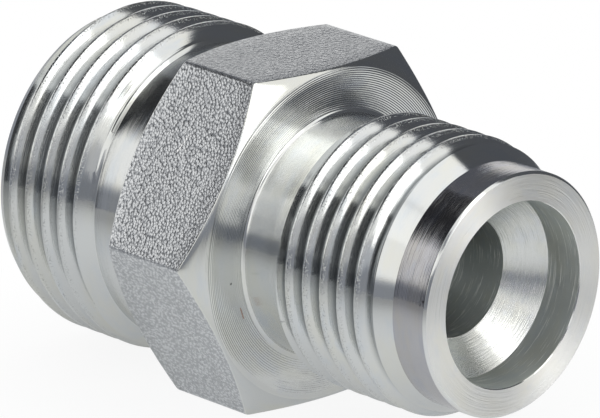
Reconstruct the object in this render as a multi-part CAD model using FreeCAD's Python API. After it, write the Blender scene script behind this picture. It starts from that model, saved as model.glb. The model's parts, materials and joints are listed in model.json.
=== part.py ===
"""Straight threaded adapter, turned in one piece from hexagon bar.

A smaller male thread with a plain nose and a larger male thread stand either side of a hexagon,
and a stepped passage runs right through.

The axis lies along X with the smaller thread towards +X. The origin is on the axis, half-way along
the length. +Z is up, and one flat of the hexagon faces down. All sizes are in millimetres, and
angles are in degrees.
"""
import FreeCAD
import Part
import math
import os

# Lengths of the three stretches along the axis
near_end_length = 15.9
hexagon_width = 8.3
far_end_length = 11.7

# Smaller thread, towards +X: its crest, the plain nose before it and the neck behind it
near_thread_diameter = 17.9
nose_step = 1.05
nose_length = 2.75
near_neck_depth = 1.07
near_neck_width = 3.1

# Larger thread, towards -X: its crest, the small end face beyond it and the neck behind it
far_thread_diameter = 21.9
far_lead_step = 0.83
far_neck_depth = 1.1
far_neck_width = 3.2

# Angles of the turned slopes, from the axis
lead_angle = 30.0
neck_flank_angle = 52.0

# Small turned features
neck_fillet = 0.33
nose_edge_break = 0.15

# Hexagon
across_flats = 22.0
hexagon_edge_round = 0.4
turned_face_margin = 0.14
front_corner_slope = 27.0
back_corner_slope = 32.0

# Passage: a straight socket and a conical seat at each end, and one bore between them
bore_diameter = 7.8
near_socket_diameter = 12.0
near_socket_depth = 2.75
far_socket_diameter = 15.0
far_socket_depth = 2.75
seat_half_angle = 48.0

length = near_end_length + hexagon_width + far_end_length
front_shoulder = near_end_length
back_shoulder = near_end_length + hexagon_width
axis_direction = FreeCAD.Vector(1, 0, 0)
origin = FreeCAD.Vector(0, 0, 0)


def slope_length(rise, angle):
    """Length along the axis of a slope that rises by the given amount at the given angle."""
    return rise / math.tan(math.radians(angle))


def section_point(station, radius):
    """A point of the half section: station is the distance from the near end face."""
    return FreeCAD.Vector(length / 2 - station, 0, radius)


def straight_runs(points):
    """Straight edges that join the points one after another."""
    return [Part.makeLine(start, end) for start, end in zip(points, points[1:])]


def neck_fillet_arc(shoulder, neck_radius, towards_end):
    """Quarter round in a neck's corner; towards_end is -1 for the near neck and 1 for the far one."""
    centre_station = shoulder + towards_end * neck_fillet
    centre_radius = neck_radius + neck_fillet
    on_neck = section_point(centre_station, neck_radius)
    on_shoulder = section_point(shoulder, centre_radius)
    diagonal = neck_fillet * math.sqrt(0.5)
    middle = section_point(centre_station - towards_end * diagonal, centre_radius - diagonal)
    return on_neck, middle, on_shoulder


def near_section():
    """Edges of the half section from the axis at the near face to the front shoulder."""
    crest_radius = near_thread_diameter / 2
    nose_radius = crest_radius - nose_step
    neck_radius = crest_radius - near_neck_depth
    neck_start = front_shoulder - near_neck_width
    thread_end = neck_start - slope_length(near_neck_depth, neck_flank_angle)
    on_neck, middle, on_shoulder = neck_fillet_arc(front_shoulder, neck_radius, -1)
    outline = [
        section_point(0, 0),
        section_point(0, nose_radius - nose_edge_break),
        section_point(nose_edge_break, nose_radius),
        section_point(nose_length, nose_radius),
        section_point(nose_length + slope_length(nose_step, lead_angle), crest_radius),
        section_point(thread_end, crest_radius),
        section_point(neck_start, neck_radius),
        on_neck,
    ]
    fillet = Part.Arc(on_neck, middle, on_shoulder).toShape()
    return straight_runs(outline) + [fillet], on_shoulder


def far_section():
    """Edges of the half section from the back shoulder to the axis at the far face."""
    crest_radius = far_thread_diameter / 2
    neck_radius = crest_radius - far_neck_depth
    neck_end = back_shoulder + far_neck_width
    thread_start = neck_end + slope_length(far_neck_depth, neck_flank_angle)
    on_neck, middle, on_shoulder = neck_fillet_arc(back_shoulder, neck_radius, 1)
    outline = [
        on_neck,
        section_point(neck_end, neck_radius),
        section_point(thread_start, crest_radius),
        section_point(length - slope_length(far_lead_step, lead_angle), crest_radius),
        section_point(length, crest_radius - far_lead_step),
        section_point(length, 0),
    ]
    fillet = Part.Arc(on_shoulder, middle, on_neck).toShape()
    return [fillet] + straight_runs(outline), on_shoulder


def revolved(edges):
    """Solid of revolution about the axis from the edges of a closed half section."""
    section = Part.Face(Part.Wire(edges))
    return section.revolve(origin, axis_direction, 360)


def turned_ends():
    """Both threaded ends with their necks, joined by a plain core through the hexagon."""
    near_edges, front_root = near_section()
    far_edges, back_root = far_section()
    core = Part.makeLine(front_root, back_root)
    centre_line = Part.makeLine(section_point(length, 0), section_point(0, 0))
    return revolved(near_edges + [core] + far_edges + [centre_line])


def hexagon_outline():
    """Hexagon across the axis, a flat facing down, with its six edges rounded."""
    round_centre = (across_flats / 2 - hexagon_edge_round) / math.cos(math.radians(30))
    front = length / 2 - front_shoulder

    def around(centre_distance, corner_angle, reach, reach_angle):
        """A point at a reach from a centre that lies on the line to a corner."""
        corner = math.radians(corner_angle)
        direction = math.radians(reach_angle)
        y = centre_distance * math.cos(corner) + reach * math.cos(direction)
        z = centre_distance * math.sin(corner) + reach * math.sin(direction)
        return FreeCAD.Vector(front, y, z)

    corners = []
    for corner_angle in range(0, 360, 60):
        spread = (corner_angle - 30, corner_angle, corner_angle + 30)
        corners.append([around(round_centre, corner_angle, hexagon_edge_round, angle) for angle in spread])
    edges = []
    for (start, middle, end), (next_start, _, _) in zip(corners, corners[1:] + corners[:1]):
        edges.append(Part.Arc(start, middle, end).toShape())
        edges.append(Part.makeLine(end, next_start))
    return Part.Wire(edges)


def hexagon():
    """Hexagon with both ends turned: flat round faces, and cones that take the corners off."""
    prism = Part.Face(hexagon_outline()).extrude(axis_direction * -hexagon_width)
    face_radius = across_flats / 2 - turned_face_margin
    corner_radius = across_flats / 2 / math.cos(math.radians(30))
    corner_rise = corner_radius - face_radius
    front_drop = corner_rise * math.tan(math.radians(front_corner_slope))
    back_drop = corner_rise * math.tan(math.radians(back_corner_slope))
    envelope = revolved(straight_runs([
        section_point(front_shoulder, 0),
        section_point(front_shoulder, face_radius),
        section_point(front_shoulder + front_drop, corner_radius),
        section_point(back_shoulder - back_drop, corner_radius),
        section_point(back_shoulder, face_radius),
        section_point(back_shoulder, 0),
        section_point(front_shoulder, 0),
    ]))
    return prism.common(envelope)


def passage():
    """The space right through the part: socket, conical seat, bore, conical seat, socket."""
    bore_radius = bore_diameter / 2
    near_radius = near_socket_diameter / 2
    far_radius = far_socket_diameter / 2
    near_seat = slope_length(near_radius - bore_radius, seat_half_angle)
    far_seat = slope_length(far_radius - bore_radius, seat_half_angle)
    return revolved(straight_runs([
        section_point(0, 0),
        section_point(0, near_radius),
        section_point(near_socket_depth, near_radius),
        section_point(near_socket_depth + near_seat, bore_radius),
        section_point(length - far_socket_depth - far_seat, bore_radius),
        section_point(length - far_socket_depth, far_radius),
        section_point(length, far_radius),
        section_point(length, 0),
        section_point(0, 0),
    ]))


def adapter_body():
    """The whole adapter as one solid."""
    whole = turned_ends().fuse(hexagon()).cut(passage()).removeSplitter()
    return whole.Solids[0]


os.makedirs("parts", exist_ok=True)
body = adapter_body()
body.exportStep("parts/adapter_body.step")
print("adapter_body volume", round(body.Volume, 1), "valid", body.isValid())
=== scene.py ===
"""Threaded adapter: one piece of plated steel turned from hexagon bar, lying on a pale studio floor.

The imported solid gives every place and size. One closed surface is grown over it, with both threads
cut as real helical grooves, and each turned, threaded or grained stretch gets its own finish.
Sizes are in millimetres. A station is a distance along the axis from the near end face.
"""
import json
import logging
import math
from collections.abc import Callable, Sequence
from dataclasses import dataclass
from enum import IntEnum

import bmesh
import bpy
import numpy as np
from mathutils import Matrix, Vector


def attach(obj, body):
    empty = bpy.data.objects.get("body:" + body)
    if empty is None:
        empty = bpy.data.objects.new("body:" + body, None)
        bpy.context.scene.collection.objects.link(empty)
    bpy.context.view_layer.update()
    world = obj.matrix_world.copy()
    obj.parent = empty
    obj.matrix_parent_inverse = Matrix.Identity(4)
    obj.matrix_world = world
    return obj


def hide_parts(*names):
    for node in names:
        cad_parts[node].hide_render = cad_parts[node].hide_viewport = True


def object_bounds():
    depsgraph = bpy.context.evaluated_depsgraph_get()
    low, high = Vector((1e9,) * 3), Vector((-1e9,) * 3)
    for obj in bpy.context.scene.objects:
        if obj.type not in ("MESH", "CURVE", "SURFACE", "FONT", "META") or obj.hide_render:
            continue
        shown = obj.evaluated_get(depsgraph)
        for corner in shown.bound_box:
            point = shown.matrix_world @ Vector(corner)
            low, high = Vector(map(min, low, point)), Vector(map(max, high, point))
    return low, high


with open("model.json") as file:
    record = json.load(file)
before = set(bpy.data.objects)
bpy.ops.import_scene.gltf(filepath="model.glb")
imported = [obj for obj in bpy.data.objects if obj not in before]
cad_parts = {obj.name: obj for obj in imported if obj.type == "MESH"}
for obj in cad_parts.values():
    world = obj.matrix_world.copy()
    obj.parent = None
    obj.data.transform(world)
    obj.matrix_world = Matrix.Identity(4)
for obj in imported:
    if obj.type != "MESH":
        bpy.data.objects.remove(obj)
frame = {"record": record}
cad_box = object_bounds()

log = logging.getLogger("threaded_adapter")

MM = 0.001
TURN = 2 * math.pi
SECTOR = math.radians(60)
WHITE = (1.0, 1.0, 1.0, 1.0)
Pair = tuple[float, float]
Triple = tuple[float, float, float]
BODY = "root"
NODE = "adapter_body"


def slope(angle: float) -> float:
    """Rise for each unit along the axis, at an angle from it in degrees."""
    return math.tan(math.radians(angle))


class Finish(IntEnum):
    """The finishes of the one piece, in the order of its material slots."""

    FACED = 0
    TURNED = 1
    NEAR_THREAD = 2
    GRAINED = 3
    EDGE = 4
    BORE = 5
    END_FACE = 6
    NOSE = 7
    SEAT = 8
    RIM = 9
    FAR_THREAD = 10


class PackedSizes:
    """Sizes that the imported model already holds, read from its mounts and its box."""

    def __init__(self, record: dict, box: Sequence[Sequence[float]]) -> None:
        """Keeps the mounts by name and the box of the whole part.

        Args:
            record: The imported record.
            box: Lowest and highest corner of the part, in metres.
        """
        self.mounts = {mount["name"]: mount for mount in record["mounts"]}
        self.low = [value / MM for value in box[0]]
        self.high = [value / MM for value in box[1]]

    def radius(self, mount: str) -> float:
        """Radius of a pin or bore mount."""
        return self.mounts[mount]["dims"]["r_mm"]

    def depth(self, mount: str) -> float:
        """Length of a pin or bore mount."""
        return self.mounts[mount]["dims"]["length_mm"]

    def station(self, mount: str) -> float:
        """Distance of a mount from the near end face."""
        return self.high[0] - self.mounts[mount]["pos_m"][0] / MM

    @property
    def length(self) -> float:
        """Length of the part along its axis."""
        return self.high[0] - self.low[0]

    @property
    def half_flats(self) -> float:
        """Distance from the axis to a flat of the hexagon."""
        return self.high[2]


@dataclass(frozen=True)
class Corner:
    """A corner of a turned outline, with the stretch that follows it."""

    station: float
    radius: float
    finish: Finish = Finish.TURNED
    round_off: float = 0.0
    rows: int = 1


@dataclass(frozen=True)
class ThreadForm:
    """Section of a sixty-degree thread: narrow flat crest, straight flanks and a round root."""

    pitch: float = 1.5
    crest_width: float = 0.19
    crest_round: float = 0.035
    depth: float = 0.92
    flank_angle: float = 60.0
    crest_steps: tuple[float, ...] = (0.0, 30.0, 60.0)
    root_steps: tuple[float, ...] = (60.0, 40.0, 20.0)

    @property
    def flank_slope(self) -> float:
        """Depth gained along the flank for each millimetre along the axis."""
        return slope(self.flank_angle)

    @property
    def root_round(self) -> float:
        """Radius of the round that meets both flanks at full depth."""
        return self.flank_slope * (self.pitch - self.crest_width) / 2 - self.depth

    @property
    def crest_flat(self) -> float:
        """Half width of the truly flat part of the crest."""
        return self.crest_width / 2 - self.crest_round * slope(self.flank_angle / 2)

    def offsets(self) -> list[float]:
        """Offsets from the crest's middle at which one pitch is sampled, in rising order.

        Returns:
            Offsets from minus half a pitch up to, but without, half a pitch.
        """
        on_crest = [self.crest_flat + self.crest_round * math.sin(math.radians(a)) for a in self.crest_steps]
        in_root = [self.pitch / 2 - self.root_round * math.sin(math.radians(a)) for a in self.root_steps]
        flank_middle = (on_crest[-1] + in_root[0]) / 2
        half = on_crest + [flank_middle] + in_root
        return [-self.pitch / 2] + [-v for v in reversed(half)] + [0.0] + half

    def depth_at(self, offset: np.ndarray) -> np.ndarray:
        """Depth below the crest, at distances along the axis from the middle of any crest.

        Args:
            offset: Distances along the axis from the middle of any crest.

        Returns:
            Depth for each distance.
        """
        half = self.pitch / 2
        v = np.abs((offset + half) % self.pitch - half)
        into_round = np.clip(v - self.crest_flat, 0, self.crest_round)
        crest = self.crest_round - np.sqrt(self.crest_round ** 2 - into_round ** 2)
        flank = (v - self.crest_width / 2) * self.flank_slope
        from_root = np.clip(half - v, 0, self.root_round)
        root = self.depth - self.root_round + np.sqrt(self.root_round ** 2 - from_root ** 2)
        sine = math.sin(math.radians(self.flank_angle))
        flank_start = self.crest_flat + self.crest_round * sine
        root_start = half - self.root_round * sine
        return np.where(v < flank_start, crest, np.where(v < root_start, flank, root))


class Skin:
    """Grows the closed surface of the part as one stretch of rows after another."""

    weld_distance = 0.002
    crisp_angle = 32.0

    def __init__(self, angles: np.ndarray, length: float) -> None:
        """Starts an empty surface.

        Args:
            angles: Angles of the columns round the axis, in rising order within one turn.
            length: Length of the part along its axis.
        """
        self.angles = angles
        self.length = length
        self.points: list[np.ndarray] = []
        self.quads: list[np.ndarray] = []
        self.finishes: list[np.ndarray] = []
        self.count = 0

    def grid(self, stations: np.ndarray, radii: np.ndarray, finishes: Sequence | np.ndarray,
             lap: int = 0) -> None:
        """Adds rows of points and the quads between them.

        Args:
            stations: Station of each point, one row per ring and one column per angle.
            radii: Distance of each point from the axis, in the same layout.
            finishes: Finish of each band between two rows, or of each quad of each band.
            lap: Rows that the last column lags behind the first, on a helical grid.
        """
        rows, columns = stations.shape
        across = radii * np.cos(self.angles)
        upward = radii * np.sin(self.angles)
        along = self.length / 2 - stations
        self.points.append(np.stack([-upward, across, along], axis=-1).reshape(-1, 3) * MM)
        index = np.arange(rows * columns).reshape(rows, columns) + self.count
        dress = np.broadcast_to(np.array(finishes, dtype=int).reshape(rows - 1, -1), (rows - 1, columns))
        for column in range(columns):
            beside = (column + 1) % columns
            shift = 0 if beside else lap
            here = index[:rows - shift, column]
            there = index[shift:, beside]
            self.quads.append(np.stack([here[:-1], here[1:], there[1:], there[:-1]], axis=-1))
            self.finishes.append(dress[:rows - 1 - shift, column])
        self.count += rows * columns

    def lathe(self, corners: Sequence[Corner]) -> None:
        """Adds a stretch of revolution from the corners of its outline.

        Args:
            corners: Corners in order. A corner with a round is drawn as an arc in three steps.
        """
        spots: list[Pair] = []
        bands: list[Finish] = []
        for place, corner in enumerate(corners):
            if corner.round_off and 0 < place < len(corners) - 1:
                arc = rounded(corners[place - 1], corner, corners[place + 1])
                spots.extend(arc)
                bands.extend([Finish.EDGE] * (len(arc) - 1))
            else:
                spots.append((corner.station, corner.radius))
            if place == len(corners) - 1:
                break
            bands.append(corner.finish)
            following = corners[place + 1]
            start = spots[-1]
            for row in range(1, corner.rows):
                share = row / corner.rows
                spots.append((
                    start[0] + (following.station - start[0]) * share,
                    start[1] + (following.radius - start[1]) * share,
                ))
                bands.append(corner.finish)
        table = np.array(spots)[:, :, None] * np.ones(len(self.angles))
        self.grid(table[:, 0], table[:, 1], bands)

    def mesh(self, name: str) -> bpy.types.Mesh:
        """Joins the stretches into one closed mesh with smooth faces and crisp edges.

        Args:
            name: Name of the mesh.

        Returns:
            The mesh, in metres, with its finish numbers as material indices.
        """
        mesh = bpy.data.meshes.new(name)
        mesh.from_pydata(np.concatenate(self.points).tolist(), [], np.concatenate(self.quads).tolist())
        mesh.polygons.foreach_set("material_index", np.concatenate(self.finishes).astype(np.int32))
        work = bmesh.new()
        work.from_mesh(mesh)
        bmesh.ops.remove_doubles(work, verts=work.verts, dist=self.weld_distance * MM)
        bmesh.ops.dissolve_degenerate(work, edges=work.edges, dist=self.weld_distance * MM / 2)
        work.to_mesh(mesh)
        work.free()
        mesh.polygons.foreach_set("use_smooth", np.ones(len(mesh.polygons), dtype=bool))
        mesh.set_sharp_from_angle(angle=math.radians(self.crisp_angle))
        return mesh


def rounded(before: Corner, corner: Corner, after: Corner) -> list[Pair]:
    """Arc that replaces a corner of an outline.

    Args:
        before: Corner before the rounded one.
        corner: The corner to round, with its radius in round_off.
        after: Corner behind it.

    Returns:
        Four points from the end of the stretch before to the start of the stretch after.
    """
    here = Vector((corner.station, corner.radius))
    back = (Vector((before.station, before.radius)) - here).normalized()
    ahead = (Vector((after.station, after.radius)) - here).normalized()
    opening = back.angle(ahead)
    centre = here + (back + ahead).normalized() * corner.round_off / math.sin(opening / 2)
    reach = corner.round_off / math.tan(opening / 2)
    start = here + back * reach - centre
    end = here + ahead * reach - centre
    spread = start.angle(end)
    steps = 3
    points = []
    for step in range(steps + 1):
        share = step / steps
        spoke = (start * math.sin((1 - share) * spread) + end * math.sin(share * spread)) / math.sin(spread)
        points.append(tuple(centre + spoke))
    return points


@dataclass(frozen=True)
class ThreadedStretch:
    """A thread cut into a turned envelope: the groove is wherever it is deeper than the envelope."""

    form: ThreadForm
    crest_radius: float
    start: float
    end: float
    envelope: Callable[[np.ndarray], np.ndarray]
    corners: tuple[float, ...]
    crest_at: float
    finish: Finish
    run_in: Pair | None = None
    samples: int = 4000

    def depth(self, station: np.ndarray, angle: float) -> np.ndarray:
        """Depth of the groove below the crest, which grows from nothing over the run-in.

        Args:
            station: Stations of the points.
            angle: Their angle round the axis.

        Returns:
            Depth of each point.
        """
        depth = self.form.depth_at(station - self.crest_at + self.form.pitch * angle / TURN)
        if self.run_in is None:
            return depth
        first, full = self.run_in
        share = np.clip((station - first) / (full - first), 0, 1)
        return depth * share * share * (3 - 2 * share)

    def slopes(self, length: float) -> tuple[Pair, ...]:
        """Finds the blank's slopes at both ends of the thread.

        Args:
            length: Length of the part along its axis.

        Returns:
            For each slope, its top as a distance along the object's own axis, and its steepness.
        """
        first, last = self.corners
        probe = 0.1
        before = float(self.crest_radius - self.envelope(np.array(first - probe)))
        after = float(self.crest_radius - self.envelope(np.array(last + probe)))
        return (length / 2 - first, before / probe), (length / 2 - last, -after / probe)

    def radius(self, station: np.ndarray, angle: float) -> np.ndarray:
        """Distance of the surface from the axis: the smaller of the envelope's and the thread's."""
        return np.minimum(self.envelope(station), self.crest_radius - self.depth(station, angle))

    def creases(self, angle: float) -> list[float]:
        """Stations at one angle where the groove runs out of the envelope, with the envelope's corners.

        Args:
            angle: Angle round the axis.

        Returns:
            The stations, in rising order.
        """
        fine = np.linspace(self.start, self.end, self.samples)
        gap = self.envelope(fine) - self.crest_radius + self.depth(fine, angle)
        turns = np.nonzero(np.sign(gap[:-1]) * np.sign(gap[1:]) < 0)[0]
        share = gap[turns] / (gap[turns] - gap[turns + 1])
        crossings = fine[turns] + share * (fine[1] - fine[0])
        return sorted(list(crossings) + list(self.corners))

    def build(self, skin: Skin) -> None:
        """Adds the stretch to the surface, on a grid that winds with the groove.

        Args:
            skin: The surface to add to.
        """
        offsets = np.array(self.form.offsets())
        turns_before = math.ceil((self.crest_at - self.start) / self.form.pitch) + 1
        turns = math.ceil((self.end - self.start) / self.form.pitch) + 4
        crests = self.crest_at + self.form.pitch * (np.arange(turns) - turns_before)
        winding = (crests[:, None] + offsets[None, :]).ravel()
        stations = np.empty((len(winding), len(skin.angles)))
        radii = np.empty_like(stations)
        for column, angle in enumerate(skin.angles):
            spots = np.clip(winding - self.form.pitch * angle / TURN, self.start, self.end)
            for crease in self.creases(angle):
                free = np.nonzero((spots > self.start) & (spots < self.end))[0]
                spots[free[np.argmin(np.abs(spots[free] - crease))]] = crease
            spots.sort()
            stations[:, column] = spots
            radii[:, column] = self.radius(spots, angle)
        skin.grid(stations, radii, [self.finish] * (len(winding) - 1), lap=len(offsets))


@dataclass(frozen=True)
class End:
    """What both ends share: a blank with a lead, a crest, a neck and a shoulder, and its thread."""

    sizes: PackedSizes
    thread_mount: str = ""
    shoulder_mount: str = ""
    outward: float = 1.0
    nose_length: float = 0.0
    lead_step: float = 0.0
    neck_depth: float = 0.0
    neck_width: float = 0.0
    neck_fillet: float = 0.33
    lead_angle: float = 30.0
    flank_angle: float = 52.0
    edge_round: float = 0.05
    crest_at: float = 0.0
    form: ThreadForm = ThreadForm()

    @property
    def crest_radius(self) -> float:
        """Radius of the thread's crest."""
        return self.sizes.radius(self.thread_mount)

    @property
    def root_radius(self) -> float:
        """Radius of the thread's root."""
        return self.crest_radius - self.form.depth

    @property
    def tip(self) -> float:
        """Radius at the foot of the lead."""
        return self.crest_radius - self.lead_step

    @property
    def neck(self) -> float:
        """Radius of the neck."""
        return self.crest_radius - self.neck_depth

    @property
    def fillet_top(self) -> float:
        """Radius at which the neck's fillet meets the shoulder."""
        return self.neck + self.neck_fillet

    @property
    def shoulder(self) -> float:
        """Station of the hexagon's face beside the neck."""
        return self.sizes.station(self.shoulder_mount)

    @property
    def neck_edge(self) -> float:
        """Station at which the slope out of the neck starts."""
        return self.shoulder + self.outward * self.neck_width

    @property
    def lead_foot(self) -> float:
        """Station at which the lead starts, at the end face or behind a nose."""
        return self.nose_length if self.outward < 0 else self.sizes.length - self.nose_length

    def on_lead(self, height: float) -> float:
        """Station at which the lead stands a height above its foot."""
        return self.lead_foot - self.outward * height / slope(self.lead_angle)

    def on_flank(self, height: float) -> float:
        """Station at which the slope stands a height above the neck."""
        return self.neck_edge + self.outward * height / slope(self.flank_angle)

    def envelope(self, station: np.ndarray) -> np.ndarray:
        """Radius of the turned blank that the thread is cut into.

        Args:
            station: Stations of the points.

        Returns:
            Radius at each point.
        """
        lead = self.tip + (self.lead_foot - station) * self.outward * slope(self.lead_angle)
        flank = self.neck + (station - self.neck_edge) * self.outward * slope(self.flank_angle)
        return np.minimum(np.minimum(lead, self.crest_radius), flank)

    def on_blank(self, station: float) -> Corner:
        """Corner on the blank's outline."""
        return Corner(station, float(self.envelope(np.array(station))))

    def stretch(self, ends: Sequence[float], finish: Finish, run_in: Pair | None = None) -> ThreadedStretch:
        """The thread between two stations.

        Args:
            ends: Stations at which it starts and ends.
            finish: Its finish.
            run_in: Stations between which the groove reaches its depth.

        Returns:
            The stretch, in this end's blank.
        """
        tops = tuple(sorted([self.on_lead(self.lead_step), self.on_flank(self.neck_depth)]))
        blank = (*ends, self.envelope, tops)
        return ThreadedStretch(self.form, self.crest_radius, *blank, self.crest_at, finish, run_in)


@dataclass(frozen=True)
class NearEnd(End):
    """The end towards +X: end face, plain nose, lead, smaller thread, neck and front shoulder."""

    thread_mount: str = "near_thread"
    shoulder_mount: str = "front_shoulder"
    outward: float = -1.0
    nose_length: float = 2.75
    lead_step: float = 1.05
    neck_depth: float = 1.07
    neck_width: float = 3.1
    crest_at: float = 1.25
    nose_edge_break: float = 0.15
    run_in: Pair = (0.3, 1.1)

    def thread(self) -> ThreadedStretch:
        """The threaded stretch between the circles where the groove is no longer cut.

        Returns:
            The stretch.
        """
        ends = self.on_lead(self.root_radius - self.tip), self.on_flank(self.root_radius - self.neck)
        first, full = self.run_in
        return self.stretch(ends, Finish.NEAR_THREAD, (self.nose_length + first, self.nose_length + full))

    def build(self, skin: Skin) -> None:
        """Adds the end from the mouth of its socket to the edge of the front shoulder.

        Args:
            skin: The surface to add to.
        """
        mouth = self.sizes.radius("near_socket")
        thread = self.thread()
        skin.lathe([
            Corner(self.edge_round, mouth, Finish.EDGE),
            Corner(0, mouth + self.edge_round, Finish.END_FACE, rows=3),
            Corner(0, self.tip - self.nose_edge_break, Finish.EDGE, self.edge_round),
            Corner(self.nose_edge_break, self.tip, Finish.NOSE, self.edge_round, rows=4),
            Corner(self.nose_length, self.tip, Finish.TURNED, self.edge_round / 2),
            self.on_blank(thread.start),
        ])
        thread.build(skin)
        fillet_start = self.shoulder - self.neck_fillet
        skin.lathe([
            self.on_blank(thread.end),
            Corner(self.neck_edge, self.neck, Finish.TURNED, self.edge_round, rows=4),
            Corner(fillet_start, self.neck),
        ])
        skin.lathe(fillet(fillet_start, self.neck, self.shoulder, self.fillet_top))


def fillet(start: float, start_radius: float, end: float, end_radius: float) -> list[Corner]:
    """Quarter round in the corner between a neck and a shoulder.

    Args:
        start: Station of the first point.
        start_radius: Its radius.
        end: Station of the last point.
        end_radius: Its radius.

    Returns:
        Corners along the round, which is hollow towards the outside.
    """
    steps = 5
    outward = end_radius > start_radius
    corners = []
    for step in range(steps + 1):
        turn = math.radians(90 * step / steps)
        along = math.sin(turn) if outward else 1 - math.cos(turn)
        rise = 1 - math.cos(turn) if outward else math.sin(turn)
        corners.append(Corner(
            start + (end - start) * along,
            start_radius + (end_radius - start_radius) * rise,
            Finish.EDGE,
        ))
    return corners


@dataclass(frozen=True)
class FarEnd(End):
    """The end towards -X: back shoulder, neck, larger thread, lead and end face."""

    thread_mount: str = "far_thread"
    shoulder_mount: str = "back_shoulder"
    lead_step: float = 0.83
    neck_depth: float = 1.1
    neck_width: float = 3.2
    crest_at: float = 0.4
    face_rings: tuple[float, ...] = (0.0, 0.35, 0.7, 1.0)

    def thread(self) -> ThreadedStretch:
        """The threaded stretch from its first cut in the neck's slope to the end face."""
        start = self.on_flank(self.root_radius - self.neck)
        return self.stretch((start, self.sizes.length), Finish.FAR_THREAD)

    def build(self, skin: Skin) -> None:
        """Adds the end from the neck's root at the back shoulder to the mouth of its socket.

        Args:
            skin: The surface to add to.
        """
        thread = self.thread()
        fillet_end = self.shoulder + self.neck_fillet
        skin.lathe(fillet(self.shoulder, self.fillet_top, fillet_end, self.neck))
        skin.lathe([
            Corner(fillet_end, self.neck, Finish.TURNED, rows=4),
            Corner(self.neck_edge, self.neck, Finish.TURNED, self.edge_round),
            self.on_blank(thread.start),
        ])
        thread.build(skin)
        self.end_face(skin, thread, self.sizes.radius("far_socket"))

    def end_face(self, skin: Skin, thread: ThreadedStretch, mouth: float) -> None:
        """Adds the end face, whose outer edge follows the groove that runs out through it.

        Args:
            skin: The surface to add to.
            thread: The thread that ends in the face.
            mouth: Radius of the socket's mouth.
        """
        length = self.sizes.length
        rim = np.array([float(thread.radius(np.array(length), angle)) for angle in skin.angles])
        inner = mouth + self.edge_round
        share = np.array(self.face_rings)[:, None]
        radii = rim[None, :] * (1 - share) + inner * share
        skin.grid(np.full_like(radii, length), radii, [Finish.END_FACE] * (len(self.face_rings) - 1))
        skin.lathe([Corner(length, inner, Finish.EDGE), Corner(length - self.edge_round, mouth)])


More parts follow.
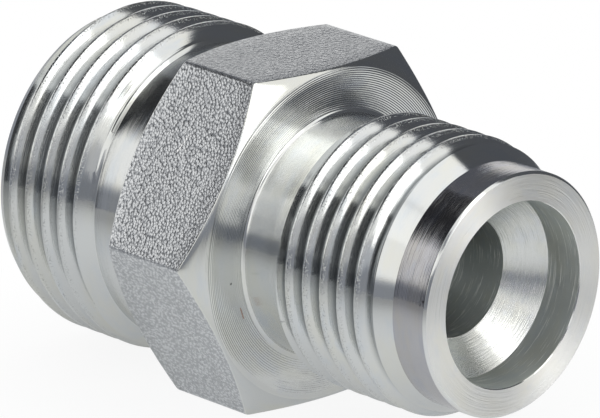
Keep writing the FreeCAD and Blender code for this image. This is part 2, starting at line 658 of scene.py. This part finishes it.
@dataclass(frozen=True)
class Hexagon:
    """The hexagon: six grained flats between two turned faces whose cones take its corners off."""

    sizes: PackedSizes
    edge_round: float = 0.4
    face_margin: float = 0.14
    front_slope: float = 27.0
    back_slope: float = 32.0
    rim_break: float = 0.04
    rim_drop: float = 0.25
    rim_steps: Pair = (0.3, 1.2)
    cone_shares: tuple[float, ...] = (0.0, 0.3, 0.6)
    flat_shares: tuple[float, ...] = (0.2, 0.4, 0.6, 0.8)
    least_cone: float = 0.1
    edge_columns: int = 6
    flat_columns: int = 45

    @property
    def round_centre(self) -> float:
        """Distance from the axis to the centre of an edge's round."""
        return (self.sizes.half_flats - self.edge_round) / math.cos(SECTOR / 2)

    @property
    def edge_spread(self) -> float:
        """Half of the angle that a rounded edge takes up, as seen from the axis."""
        side = self.edge_round * math.sin(SECTOR / 2)
        return math.atan2(side, self.round_centre + self.edge_round * math.cos(SECTOR / 2))

    def from_edge(self, angles: np.ndarray) -> np.ndarray:
        """Angle from the nearest edge of the hexagon."""
        return np.abs((angles + SECTOR / 2) % SECTOR - SECTOR / 2)

    def outline(self, angles: np.ndarray) -> np.ndarray:
        """Distance of the hexagon's outline from the axis, with its six edges rounded.

        Args:
            angles: Angles round the axis.

        Returns:
            Distance at each angle.
        """
        from_edge = self.from_edge(angles)
        flat = self.sizes.half_flats / np.cos(SECTOR / 2 - from_edge)
        inside = np.maximum(self.edge_round ** 2 - (self.round_centre * np.sin(from_edge)) ** 2, 0)
        edge = self.round_centre * np.cos(from_edge) + np.sqrt(inside)
        return np.where(from_edge < self.edge_spread, edge, flat)

    def columns(self) -> np.ndarray:
        """Angles of the columns, close together on the rounded edges and even between them.

        Returns:
            The angles within one turn, in rising order.
        """
        on_edge = np.linspace(-self.edge_spread, self.edge_spread, self.edge_columns + 1)[:-1]
        between = np.linspace(self.edge_spread, SECTOR - self.edge_spread, self.flat_columns + 1)[:-1]
        one = np.concatenate([on_edge, between])
        return np.sort(np.concatenate([one + SECTOR * side for side in range(6)]) % TURN)

    def build(self, skin: Skin, front_root: float, back_root: float) -> None:
        """Adds the front face, the cones, the flats and the back face.

        Args:
            skin: The surface to add to.
            front_root: Radius at which the front face starts.
            back_root: Radius at which the back face ends.
        """
        face = self.sizes.half_flats - self.face_margin
        front = self.sizes.station("front_shoulder")
        back = self.sizes.station("back_shoulder")
        skin.lathe([Corner(front, front_root, Finish.FACED, rows=6), Corner(front, face)])
        outline = self.outline(skin.angles)
        rise = outline - face
        near_edge = front + rise * slope(self.front_slope)
        far_edge = back - rise * slope(self.back_slope)
        run = far_edge - near_edge
        low, half = outline - self.rim_break, outline - self.rim_break * self.rim_drop
        turn, flat = (self.rim_break * step for step in self.rim_steps)
        near_lip = near_edge - self.rim_break * math.sin(math.radians(self.front_slope))
        far_lip = far_edge + self.rim_break * math.sin(math.radians(self.back_slope))
        rings = [(front + (near_edge - front) * v, face + rise * v, Finish.TURNED) for v in self.cone_shares]
        rings += [(near_lip, low, Finish.EDGE), (near_edge + turn, half, Finish.EDGE)]
        rings += [(near_edge + flat, outline, Finish.GRAINED)]
        rings += [(near_edge + run * v, outline, Finish.GRAINED) for v in self.flat_shares]
        rings += [(far_edge - flat, outline, Finish.EDGE), (far_edge - turn, half, Finish.EDGE)]
        rings += [(far_lip, low, Finish.TURNED)]
        rings += [(back + (far_edge - back) * v, face + rise * v, Finish.TURNED)
                  for v in reversed(self.cone_shares)]
        stations, radii, bands = zip(*rings)
        dress = np.array(bands[:-1])[:, None] * np.ones(len(skin.angles), dtype=int)
        dress[:, rise < self.least_cone] = Finish.GRAINED
        on_edges = self.from_edge(skin.angles) < self.edge_spread
        dress[(dress == Finish.GRAINED) & on_edges[None, :]] = Finish.RIM
        skin.grid(np.stack(stations), np.stack(radii), dress)
        skin.lathe([Corner(back, face, Finish.FACED, rows=4), Corner(back, back_root)])


@dataclass(frozen=True)
class Passage:
    """The passage right through: a socket and a conical seat at each end, and the bore between."""

    sizes: PackedSizes
    seat_half_angle: float = 48.0
    mouth_break: float = 0.05
    edge_round: float = 0.06

    def build(self, skin: Skin) -> None:
        """Adds the passage, from the far mouth back to the near one.

        Args:
            skin: The surface to add to.
        """
        length = self.sizes.length
        bore = self.sizes.radius("through_bore")
        near = self.sizes.radius("near_socket")
        far = self.sizes.radius("far_socket")
        near_depth = self.sizes.depth("near_socket")
        far_depth = self.sizes.depth("far_socket")
        seat_run = slope(self.seat_half_angle)
        skin.lathe([
            Corner(length - self.mouth_break, far, Finish.BORE, rows=2),
            Corner(length - far_depth, far, Finish.SEAT, self.edge_round, rows=2),
            Corner(length - far_depth - (far - bore) / seat_run, bore, Finish.BORE, self.edge_round, rows=6),
            Corner(near_depth + (near - bore) / seat_run, bore, Finish.SEAT, self.edge_round, rows=3),
            Corner(near_depth, near, Finish.BORE, self.edge_round, rows=3),
            Corner(self.mouth_break, near),
        ])


class Wire:
    """A shader socket that takes part in Python arithmetic. Each operation adds a Math node."""

    def __init__(self, board: "Board", socket: bpy.types.NodeSocket) -> None:
        """Keeps the socket and the board that its nodes are on."""
        self.board = board
        self.socket = socket

    def __add__(self, other: "Wire | float") -> "Wire":
        """Sum of both values."""
        return self.board.math("ADD", self, other)

    def __radd__(self, other: float) -> "Wire":
        """Sum of both values."""
        return self.board.math("ADD", other, self)

    def __sub__(self, other: "Wire | float") -> "Wire":
        """This value less the other."""
        return self.board.math("SUBTRACT", self, other)

    def __rsub__(self, other: float) -> "Wire":
        """The other value less this one."""
        return self.board.math("SUBTRACT", other, self)

    def __mul__(self, other: "Wire | float") -> "Wire":
        """Product of both values."""
        return self.board.math("MULTIPLY", self, other)

    def __rmul__(self, other: float) -> "Wire":
        """Product of both values."""
        return self.board.math("MULTIPLY", other, self)

    def __truediv__(self, other: "Wire | float") -> "Wire":
        """This value divided by the other."""
        return self.board.math("DIVIDE", self, other)


class Board:
    """The node tree of one material or world, with the few ways that nodes are put on it."""

    def __init__(self, owner: bpy.types.Material | bpy.types.World) -> None:
        """Turns on the owner's nodes and empties them.

        Args:
            owner: The material or world that the board is for.
        """
        owner.use_nodes = True
        self.tree = owner.node_tree
        self.tree.nodes.clear()

    def node(self, kind: str, settings: dict[str, object] | None = None,
             inputs: dict[str | int, object] | None = None) -> bpy.types.Node:
        """Puts a node on the board.

        Args:
            kind: The node's type, such as ShaderNodeTexNoise.
            settings: Its properties, which are set first.
            inputs: Values or wires for its sockets, by name or number.

        Returns:
            The new node.
        """
        made = self.tree.nodes.new(kind)
        for name, value in (settings or {}).items():
            setattr(made, name, value)
        for key, value in (inputs or {}).items():
            if isinstance(value, Wire):
                self.tree.links.new(value.socket, made.inputs[key])
            else:
                made.inputs[key].default_value = value
        return made

    def wire(self, kind: str, settings: dict[str, object] | None = None,
             inputs: dict[str | int, object] | None = None, output: str | int = 0) -> Wire:
        """Puts a node on the board and gives one of its outputs."""
        return Wire(self, self.node(kind, settings, inputs).outputs[output])

    def math(self, operation: str, *values: "Wire | float") -> Wire:
        """Result of a Math node on the given values."""
        return self.wire("ShaderNodeMath", {"operation": operation}, dict(enumerate(values)))

    def window(self, value: Wire, low: float, high: float) -> Wire:
        """Rises smoothly from 0 to 1 while the value goes from low to high."""
        settings = {"interpolation_type": "SMOOTHSTEP", "clamp": True}
        return self.wire("ShaderNodeMapRange", settings, {"Value": value, "From Min": low, "From Max": high})

    def vector(self, x: "Wire | float", y: "Wire | float", z: "Wire | float") -> Wire:
        """Vector with the three given parts."""
        return self.wire("ShaderNodeCombineXYZ", None, {"X": x, "Y": y, "Z": z})

    def grain(self, where: Wire, scale: float) -> Wire:
        """Value of an even noise texture."""
        inputs = {"Vector": where, "Scale": scale, "Detail": 2.0}
        return self.wire("ShaderNodeTexNoise", {"noise_dimensions": "3D"}, inputs, "Fac")

    def blend(self, share: "Wire | float", first: object, second: object) -> Wire:
        """Colour between two colours, by a share from 0 to 1."""
        return self.wire("ShaderNodeMix", {"data_type": "RGBA"}, {0: share, 6: first, 7: second}, 2)

    def parts(self, vector: Wire) -> tuple[Wire, ...]:
        """The three parts of a vector."""
        split = self.node("ShaderNodeSeparateXYZ", None, {0: vector})
        return tuple(Wire(self, split.outputs[axis]) for axis in ("X", "Y", "Z"))

    def scale(self, direction: object, factor: "Wire | float") -> Wire:
        """Vector made longer or shorter by a factor."""
        return self.wire("ShaderNodeVectorMath", {"operation": "SCALE"}, {0: direction, "Scale": factor})

    def vectors(self, operation: str, first: object, second: object, output: str = "Vector") -> Wire:
        """Result of a Vector Math node on two vectors."""
        return self.wire("ShaderNodeVectorMath", {"operation": operation}, {0: first, 1: second}, output)

    def span(self, first: object, second: object) -> Wire:
        """Distance between two places."""
        return self.vectors("DISTANCE", first, second, "Value")


def opaque(colour: Sequence[float]) -> tuple[float, float, float, float]:
    """The colour with a full alpha."""
    return (*colour, 1.0)


def put(name: str, data: bpy.types.ID) -> bpy.types.Object:
    """Puts a new object with the given data into the scene.

    Args:
        name: Name of the object.
        data: Its mesh or camera.

    Returns:
        The object.
    """
    made = bpy.data.objects.new(name, data)
    bpy.context.scene.collection.objects.link(made)
    return made


class Lathe:
    """Places on the part as its material sees them: along the axis, from the axis and round it."""

    def __init__(self, board: Board) -> None:
        """Reads the object's own coordinates, in which Z is the axis, and turns them into millimetres.

        Args:
            board: The board of the material.
        """
        self.board = board
        self.place = board.scale(board.wire("ShaderNodeTexCoord", None, None, "Object"), 1 / MM)
        x, y, self.along = board.parts(self.place)
        self.radius = board.math("SQRT", x * x + y * y)
        self.around = board.vector(x / self.radius, y / self.radius, 0.0)

    def drawn(self, density: float, spread: float, detail: float) -> Wire:
        """Noise drawn out round the axis, as a tool leaves it.

        Args:
            density: Lines for each millimetre across them.
            spread: How often the noise changes round the axis.
            detail: Detail of the noise.

        Returns:
            Value from 0 to 1.
        """
        board = self.board
        axial = board.vector(0.0, 0.0, self.along * density)
        where = board.vectors("ADD", board.scale(self.around, spread), axial)
        inputs = {"Vector": where, "W": self.radius * density, "Scale": 1.0, "Detail": detail}
        inputs["Roughness"] = 0.6
        return board.wire("ShaderNodeTexNoise", {"noise_dimensions": "4D"}, inputs, "Fac")


@dataclass(frozen=True)
class Tones:
    """Colours of the plating: its own, a straw tint and a cool tint, with a painted shade for thread grooves
    and a pale worn tone.
    """

    plain: Triple = (0.72, 0.73, 0.72)
    straw: Triple = (0.72, 0.725, 0.69)
    cool: Triple = (0.69, 0.71, 0.73)
    # Painted shade for the grooves of a thread, standing in for shadow between its flanks.
    root: Triple = (0.27, 0.285, 0.29)
    worn: Triple = (0.95, 0.96, 0.93)
    straw_span: Pair = (0.42, 0.66)
    cool_span: Pair = (0.48, 0.72)

    def mottled(self, board: Board, patches: Wire, clouds: Wire) -> Wire:
        """Brings in the straw tint by the patches and the cool tint by the clouds."""
        warm = board.blend(board.window(patches, *self.straw_span), opaque(self.plain), opaque(self.straw))
        return board.blend(board.window(clouds, *self.cool_span), warm, opaque(self.cool))


@dataclass(frozen=True)
class Mark:
    """A small mark on the surface: a spot, or a stroke from one place to another.

    Places are a station, a distance from the axis and an angle round it in degrees.
    """

    start: Triple
    end: Triple
    reach: float
    tone: Triple
    core: float = 0.4

    def spot(self, place: Triple, length: float) -> Vector:
        """The place in the object's own coordinates, in millimetres.

        Args:
            place: Station, radius and angle.
            length: Length of the part.

        Returns:
            The place.
        """
        station, radius, angle = place
        turn = math.radians(angle)
        return Vector((-radius * math.sin(turn), radius * math.cos(turn), length / 2 - station))

    def cover(self, board: Board, place: Wire, length: float) -> Wire:
        """Share of the mark at each place.

        Args:
            board: The board to work on.
            place: Place on the object, in millimetres.
            length: Length of the part.

        Returns:
            Value from 0 off the mark to 1 on it.
        """
        first = self.spot(self.start, length)
        run = self.spot(self.end, length) - first
        if run.length > 0:
            unit = run.normalized()
            ahead = board.vectors("DOT_PRODUCT", board.vectors("SUBTRACT", place, first), unit, "Value")
            held = board.math("MINIMUM", board.math("MAXIMUM", ahead, 0.0), run.length)
            first = board.vectors("ADD", board.scale(unit, held), first)
        return 1 - board.window(board.span(place, first), self.core * self.reach, self.reach)


@dataclass(frozen=True)
class MetalFinish:
    """What every finish of the metal shares: its name, its marks and the last nodes of its material."""

    name: str
    length: float = 0.0
    marks: tuple[Mark, ...] = ()

    def material(self) -> bpy.types.Material:
        """Builds the material.

        Returns:
            A material whose varying parts are colour, roughness and normal.
        """
        made = bpy.data.materials.new(self.name)
        board = Board(made)
        lathe = Lathe(board)
        height, sockets = self.surface(board, lathe)
        for mark in self.marks:
            cover = mark.cover(board, lathe.place, self.length)
            sockets["Base Color"] = board.blend(cover, sockets["Base Color"], opaque(mark.tone))
        bump = {"Strength": 1.0, "Distance": MM, "Height": height}
        sockets["Normal"] = board.wire("ShaderNodeBump", None, bump)
        shader = board.wire("ShaderNodeBsdfPrincipled", None, {"Metallic": 1.0, **sockets})
        board.node("ShaderNodeOutputMaterial", None, {"Surface": shader})
        return made


@dataclass(frozen=True)
class PlatedFinish(MetalFinish):
    """Bright plating on machined steel: feed marks and tool lines round the axis, and soft tints, with
    painted shade in a thread's root.

    The noises are given by their density, their spread round the axis and their detail.
    """

    roughness: float = 0.11
    roughness_spread: float = 0.04
    anisotropy: float = 0.93
    patch_noise: Triple = (0.5, 1.6, 2.0)
    cloud_noise: Triple = (0.9, 3.0, 3.0)
    line_noise: Pair = (2.5, 3.0)
    line_slope: float = 0.05
    lines_per_mm: float = 12.0
    feed: float = 0.12
    feed_slope: float = 0.04
    feed_wander: float = 3.0
    least_feed: float = 0.5
    inward: float = -1.0
    fleck_height: float = 0.0003
    fleck_size: float = 0.07
    nick_depth: float = 0.02
    nick_span: Pair = (0.56, 0.68)
    scratches: float = 0.0
    scratch_span: Pair = (0.56, 0.66)
    crest: float = 0.0
    crest_span: Pair = (0.05, 0.25)
    slopes: tuple[Pair, ...] = ()
    painted_root_shade_span: Pair = (0.5, 0.82)
    root_roughness: float = 0.05
    tones: Tones = Tones()

    def surface(self, board: Board, lathe: Lathe) -> tuple[Wire, dict[str, object]]:
        """Draws the plating.

        Args:
            board: The board to work on.
            lathe: Places on the part.

        Returns:
            Height of the surface in millimetres, and what feeds the shader's sockets.
        """
        patches = lathe.drawn(*self.patch_noise)
        clouds = lathe.drawn(*self.cloud_noise)
        lines = lathe.drawn(self.lines_per_mm, *self.line_noise)
        section = lathe.radius + board.math("ABSOLUTE", lathe.along) * self.inward
        feed = board.math("SINE", section * (TURN / self.feed) + patches * self.feed_wander)
        flecks = board.grain(lathe.place, 1 / self.fleck_size)
        depth_of_feed = self.feed_slope * self.feed / TURN * (self.least_feed + clouds)
        height = lines * (self.line_slope / self.lines_per_mm) + feed * depth_of_feed
        height = height + flecks * self.fleck_height
        colour = self.tones.mottled(board, patches, clouds)
        shiny = self.roughness + (lines + clouds - 1) * self.roughness_spread
        if self.scratches:
            scratched = board.window(lines, *self.scratch_span) * self.scratches
            colour = board.blend(scratched, colour, opaque(self.tones.worn))
        if self.crest:
            below = self.crest - lathe.radius
            nicks = board.window(flecks, *self.nick_span) * (1 - board.window(below, *self.crest_span))
            height = height - nicks * self.nick_depth
            # Painted shade: deeper in a thread's groove the colour turns to the dark root tone, standing in
            # for shadow between the flanks.
            in_root = board.window(self.in_groove(board, below, lathe.along), *self.painted_root_shade_span)
            colour = board.blend(in_root, colour, opaque(self.tones.root))
            shiny = shiny + in_root * self.root_roughness
        return height, {
            "Base Color": colour,
            "Roughness": shiny,
            "Anisotropic": self.anisotropy,
            "Anisotropic Rotation": 0.25,
        }

    def in_groove(self, board: Board, below: Wire, along: Wire) -> Wire:
        """Depth in the thread's groove, without the blank's slopes at the thread's ends.

        Args:
            board: The board to work on.
            below: Depth below the crest.
            along: Place along the object's own axis.

        Returns:
            Depth in millimetres.
        """
        blank: Wire | float = 0.0
        for top, rise in self.slopes:
            blank = board.math("MAXIMUM", blank, (along - top) * rise)
        return below - blank


@dataclass(frozen=True)
class GrainedFinish(MetalFinish):
    """The flats of the bar: a coarse sparkling grain under the plating."""

    tone: Triple = (0.7, 0.715, 0.73)
    hollow: Triple = (0.46, 0.475, 0.495)
    hollow_span: Pair = (0.25, 0.65)
    roughness: float = 0.28
    roughness_spread: float = 0.2
    grains_per_mm: float = 5.2
    grain_height: float = 0.043
    fine_height: float = 0.008
    fineness: float = 3.5

    def surface(self, board: Board, lathe: Lathe) -> tuple[Wire, dict[str, object]]:
        """Draws the grain.

        Args:
            board: The board to work on.
            lathe: Places on the part.

        Returns:
            Height of the surface in millimetres, and what feeds the shader's sockets.
        """
        where = {"Vector": lathe.place, "Scale": self.grains_per_mm}
        pebbles = board.wire("ShaderNodeTexVoronoi", {"feature": "F1"}, where, "Distance")
        fine = board.grain(lathe.place, self.grains_per_mm * self.fineness)
        height = fine * self.fine_height - pebbles * pebbles * self.grain_height
        hollows = board.window(pebbles, *self.hollow_span)
        return height, {
            "Base Color": board.blend(hollows, opaque(self.tone), opaque(self.hollow)),
            "Roughness": self.roughness + (fine - 0.5) * self.roughness_spread,
        }


@dataclass(frozen=True)
class Adapter:
    """The whole adapter: its ends, its hexagon and its passage, joined into one dressed piece."""

    sizes: PackedSizes
    name: str = "adapter"
    turned_tones: Tones = Tones((0.65, 0.665, 0.665), (0.66, 0.665, 0.63), (0.61, 0.64, 0.665))
    face_marks: tuple[Mark, ...] = (
        Mark(start=(15.9, 8.99, 189.0), end=(15.9, 8.99, 189.0), reach=0.09, tone=(0.08, 0.07, 0.065)),
        Mark(start=(15.9, 8.62, 202.0), end=(15.9, 8.66, 207.0), reach=0.07, tone=(0.5, 0.33, 0.27)),
    )
    flat_marks: tuple[Mark, ...] = (
        Mark(start=(20.26, 11.2, 139.31), end=(20.71, 11.03, 146.09), reach=0.06, tone=(1.0, 1.0, 1.0)),
    )
    nose_marks: tuple[Mark, ...] = (
        Mark(start=(0.15, 7.9, 170.7), end=(0.3, 7.9, 170.9), reach=0.1, tone=(0.15, 0.14, 0.14)),
    )

    def skin(self) -> Skin:
        """Grows the closed surface.

        Returns:
            The surface, with its ends, hexagon and passage joined.
        """
        near = NearEnd(self.sizes)
        far = FarEnd(self.sizes)
        hexagon = Hexagon(self.sizes)
        skin = Skin(hexagon.columns(), self.sizes.length)
        near.build(skin)
        hexagon.build(skin, near.fillet_top, far.fillet_top)
        far.build(skin)
        Passage(self.sizes).build(skin)
        return skin

    def finishes(self) -> dict[Finish, bpy.types.Material]:
        """Builds the material of each finish.

        Returns:
            The materials by finish.
        """
        length = self.sizes.length
        dressings = {
            Finish.FACED: PlatedFinish(
                "faced", length, self.face_marks, roughness=0.09, feed=0.14, feed_slope=0.26,
            ),
            Finish.TURNED: PlatedFinish("turned", line_slope=0.07, tones=self.turned_tones),
            Finish.NEAR_THREAD: self.threaded("near_thread", NearEnd(self.sizes).thread(), (0.45, 0.82)),
            Finish.FAR_THREAD: self.threaded("far_thread", FarEnd(self.sizes).thread(), (0.55, 0.86)),
            Finish.GRAINED: GrainedFinish("grained", length, self.flat_marks),
            Finish.RIM: GrainedFinish("rim", grain_height=0.02, fine_height=0.004),
            Finish.EDGE: PlatedFinish("edge", anisotropy=0.6, feed_slope=0.0),
            Finish.BORE: PlatedFinish(
                "bore", roughness=0.36, anisotropy=0.8, line_slope=0.3, feed=0.17, inward=1.0, scratches=0.9,
                tones=Tones((0.57, 0.6, 0.59), (0.58, 0.6, 0.56), (0.54, 0.58, 0.59)),
            ),
            Finish.SEAT: PlatedFinish("seat", roughness=0.25, line_slope=0.45, feed=0.17, inward=1.0),
            Finish.END_FACE: PlatedFinish(
                "end_face", roughness=0.42, line_slope=0.4, lines_per_mm=9.0, feed=0.06,
                tones=Tones((0.85, 0.85, 0.83), (0.86, 0.85, 0.8), (0.81, 0.82, 0.82)),
            ),
            Finish.NOSE: PlatedFinish(
                "nose", length, self.nose_marks, roughness=0.12, line_slope=0.12, lines_per_mm=9.0,
                tones=Tones((0.45, 0.45, 0.47), (0.45, 0.44, 0.43), (0.42, 0.43, 0.47)),
            ),
        }
        return {finish: dressing.material() for finish, dressing in dressings.items()}

    def threaded(self, name: str, thread: ThreadedStretch, painted_root_shade_span: Pair) -> PlatedFinish:
        """Finish of a thread, with painted shade that darkens its root against its flanks.

        Args:
            name: Name of the material.
            thread: The thread.
            painted_root_shade_span: Depths over which the painted root shade comes in.

        Returns:
            The finish.
        """
        return PlatedFinish(
            name, anisotropy=0.7, feed_slope=0.0, fleck_height=0.0015, fleck_size=0.1,
            crest=thread.crest_radius, slopes=thread.slopes(self.sizes.length), painted_root_shade_span=painted_root_shade_span,
            tones=self.turned_tones,
        )

    def build(self) -> bpy.types.Object:
        """Makes the piece, with its axis along the object's own Z, and lays it in the row's frame.

        Returns:
            The piece, which rides on the body and replaces the plain solid.
        """
        mesh = self.skin().mesh(self.name)
        # The brushed look winds round the middle of this space, so it is centred on the axis.
        mesh.use_auto_texspace = False
        half = self.sizes.length / 2 * MM
        mesh.texspace_location = (0.0, 0.0, 0.0)
        mesh.texspace_size = (half, half, half)
        materials = self.finishes()
        for finish in Finish:
            mesh.materials.append(materials[finish])
        piece = put(self.name, mesh)
        piece.matrix_world = Matrix.Rotation(TURN / 4, 4, "Y")
        weighted = piece.modifiers.new("weighted", "WEIGHTED_NORMAL")
        weighted.keep_sharp = True
        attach(piece, BODY)
        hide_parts(NODE)
        return piece


@dataclass(frozen=True)
class Card:
    """A reflector or a dark gap of the studio, as a window of directions round the object.

    Angles are in degrees. The azimuth turns from +X towards +Y, and the elevation rises to +Z.
    """

    name: str
    azimuth: float
    elevation: float
    width: float
    height: float
    level: float
    edge: float = 6.0


@dataclass(frozen=True)
class Studio:
    """The pale floor with its painted pool of light, the white background with its cards, the soft light and
    the camera.
    """

    floor_height: float
    floor_reach: float = 0.08
    # Painted pool of light on the floor: a bright tone round the part that dims to a dark rim tone, and a
    # painted glow that glossy rays see in the pool.
    painted_pool_tone: Triple = (0.9, 0.92, 0.925)
    painted_dim_rim_tone: Triple = (0.42, 0.425, 0.43)
    floor_whiteness: float = 0.9
    pool_centre: Triple = (0.01, 0.01, 0.0)
    painted_pool_glow: float = 0.38
    pool_edge: Pair = (0.016, 0.076)
    white_edge: Pair = (0.016, 0.032)
    soft_level: float = 0.95
    warm: Triple = (1.005, 1.0, 0.985)
    cool: Triple = (0.93, 0.98, 1.1)
    cool_span: Pair = (0.2, 0.8)
    cards: tuple[Card, ...] = (
        Card("horizon", 0, -10, 360, 28, 0.32, 12),
        Card("back wall, low", 165, 12, 80, 22, 0.95, 5),
        Card("back wall, high", 150, 43, 90, 40, 0.16, 5),
        Card("dark corner", 84, 26, 82, 76, 0.1, 4),
        Card("gap behind the left wall", -154, 47, 76, 30, 0.03, 3),
        Card("left wall", -104, 19, 136, 28, 1.15, 7),
        Card("left wall, high", -86, 47, 60, 28, 1.3, 4),
        Card("slit in the left wall", -108, 14, 33, 80, 0.05, 5),
        Card("wall beside the window", -22, 8, 30, 14, 0.6, 4),
        Card("low wall left of the window", -40, 2, 22, 22, 0.24, 6),
        Card("gap beside the window", -31, 34, 14, 16, 0.2, 4),
        Card("window", 13, 38, 46, 62, 2.4, 3),
        Card("shaded side of the window", 35, 38, 22, 62, 1.15, 4),
        Card("overhead", 0, 90, 360, 54, 1.25, 4),
    )
    camera_place: Triple = (0.297112, -0.299776, 0.13985)
    camera_right: Triple = (0.703301, 0.710468, 0.024546)
    camera_up: Triple = (-0.238409, 0.203195, 0.94967)
    camera_back: Triple = (0.669723, -0.673756, 0.312289)
    lens: float = 420.0
    sensor: float = 36.0

    def build_floor(self) -> None:
        """Lays the floor under the part, with a painted pool of light that dims towards its rim. The camera
        sees it near white, and shadows stay on it.
        """
        mesh = bpy.data.meshes.new("floor")
        work = bmesh.new()
        bmesh.ops.create_circle(work, cap_ends=True, segments=96, radius=self.floor_reach)
        work.to_mesh(mesh)
        work.free()
        material = bpy.data.materials.new("pale_floor")
        board = Board(material)
        place = board.wire("ShaderNodeNewGeometry", None, None, "Position")
        # Painted pool of light: the floor's colour goes from the bright tone near the part to the dim rim
        # tone.
        outward = board.window(board.span(place, self.pool_centre), *self.pool_edge)
        beyond = board.window(board.span(place, (0.0, 0.0, 0.0)), *self.white_edge)
        tone = board.blend(outward, opaque(self.painted_pool_tone), opaque(self.painted_dim_rim_tone))
        matt = board.wire("ShaderNodeBsdfDiffuse", None, {"Color": tone})
        white = board.wire("ShaderNodeEmission", None, {"Color": WHITE, "Strength": 1.0})
        seen, mirrored = self.rays(board)
        share = seen * (self.floor_whiteness + beyond * (1 - self.floor_whiteness))
        # Painted glow: glossy rays see white light painted into the pool, also in the part's shadow.
        share = share + mirrored * (1 - outward) * self.painted_pool_glow
        mixed = board.wire("ShaderNodeMixShader", None, {0: share, 1: matt, 2: white})
        board.node("ShaderNodeOutputMaterial", None, {"Surface": mixed})
        mesh.materials.append(material)
        floor = put("floor", mesh)
        floor.location = (0.0, 0.0, self.floor_height)

    def rays(self, board: Board) -> tuple[Wire, Wire]:
        """Tells the kinds of rays apart.

        Args:
            board: The board to work on.

        Returns:
            One wire that is 1 on camera rays, and one that is 1 on glossy and transmission rays.
        """
        kinds = board.node("ShaderNodeLightPath")
        names = ("Is Camera Ray", "Is Glossy Ray", "Is Transmission Ray")
        camera, glossy, through = (Wire(board, kinds.outputs[name]) for name in names)
        return camera, board.math("MAXIMUM", glossy, through)

    def build_world(self) -> None:
        """Surrounds the part with a white background, which metal shows with its cards and gaps."""
        world = bpy.data.worlds.new("studio")
        bpy.context.scene.world = world
        board = Board(world)
        direction = board.wire("ShaderNodeTexCoord", None, None, "Generated")
        x, y, z = board.parts(direction)
        azimuth = board.math("ARCTAN2", y, x) * (360 / TURN)
        elevation = board.math("ARCSINE", z) * (360 / TURN)
        level: Wire | float = 1.0
        for card in self.cards:
            level = self.lay(board, card, azimuth, elevation, level)
        seen, mirrored = self.rays(board)
        tint = board.blend(board.window(level, *self.cool_span), opaque(self.cool), opaque(self.warm))
        carded = board.wire("ShaderNodeBackground", None, {"Color": tint, "Strength": level})
        soft = board.wire("ShaderNodeBackground", None, {"Color": WHITE, "Strength": self.soft_level})
        white = board.wire("ShaderNodeBackground", None, {"Color": WHITE, "Strength": 1.0})
        lit = board.wire("ShaderNodeMixShader", None, {0: mirrored, 1: soft, 2: carded})
        whole = board.wire("ShaderNodeMixShader", None, {0: seen, 1: lit, 2: white})
        board.node("ShaderNodeOutputWorld", None, {"Surface": whole})

    def lay(self, board: Board, card: Card, azimuth: Wire, elevation: Wire, level: Wire | float) -> Wire:
        """Lays one card over the levels so far.

        Args:
            board: The world's board.
            card: The card to lay.
            azimuth: Azimuth of the direction, in degrees.
            elevation: Its elevation, in degrees.
            level: Brightness before the card.

        Returns:
            Brightness with the card.
        """
        spans = [(elevation - card.elevation, card.height)]
        if card.width < 360:
            spans.append((board.math("WRAP", azimuth - card.azimuth, -180.0, 180.0), card.width))
        share: Wire | float = 1.0
        for offset, size in spans:
            away = board.math("ABSOLUTE", offset)
            share = share * (1 - board.window(away, (size - card.edge) / 2, (size + card.edge) / 2))
        return level + share * (card.level - level)

    def build_camera(self) -> None:
        """Sets the camera where the photograph was taken from."""
        data = bpy.data.cameras.new("camera")
        data.sensor_width = self.sensor
        data.lens = self.lens
        data.clip_start = 0.01
        camera = put("camera", data)
        columns = (self.camera_right, self.camera_up, self.camera_back, self.camera_place)
        rows = [[column[axis] for column in columns] for axis in range(3)]
        camera.matrix_world = Matrix(rows + [[0.0, 0.0, 0.0, 1.0]])
        bpy.context.scene.camera = camera

    def build(self) -> None:
        """Builds the whole studio and sets plain colour handling."""
        self.build_floor()
        self.build_world()
        self.build_camera()
        bpy.context.scene.view_settings.view_transform = "Standard"


def main() -> None:
    """Builds the adapter and its studio."""
    logging.basicConfig(level=logging.INFO, format="%(name)s: %(message)s")
    sizes = PackedSizes(frame["record"], cad_box)
    piece = Adapter(sizes).build()
    log.info("%s: %d faces, %.2f mm long", piece.name, len(piece.data.polygons), sizes.length)
    Studio(floor_height=cad_box[0][2]).build()
    log.info("studio: floor, world and camera")


if __name__ == "__main__":
    main()
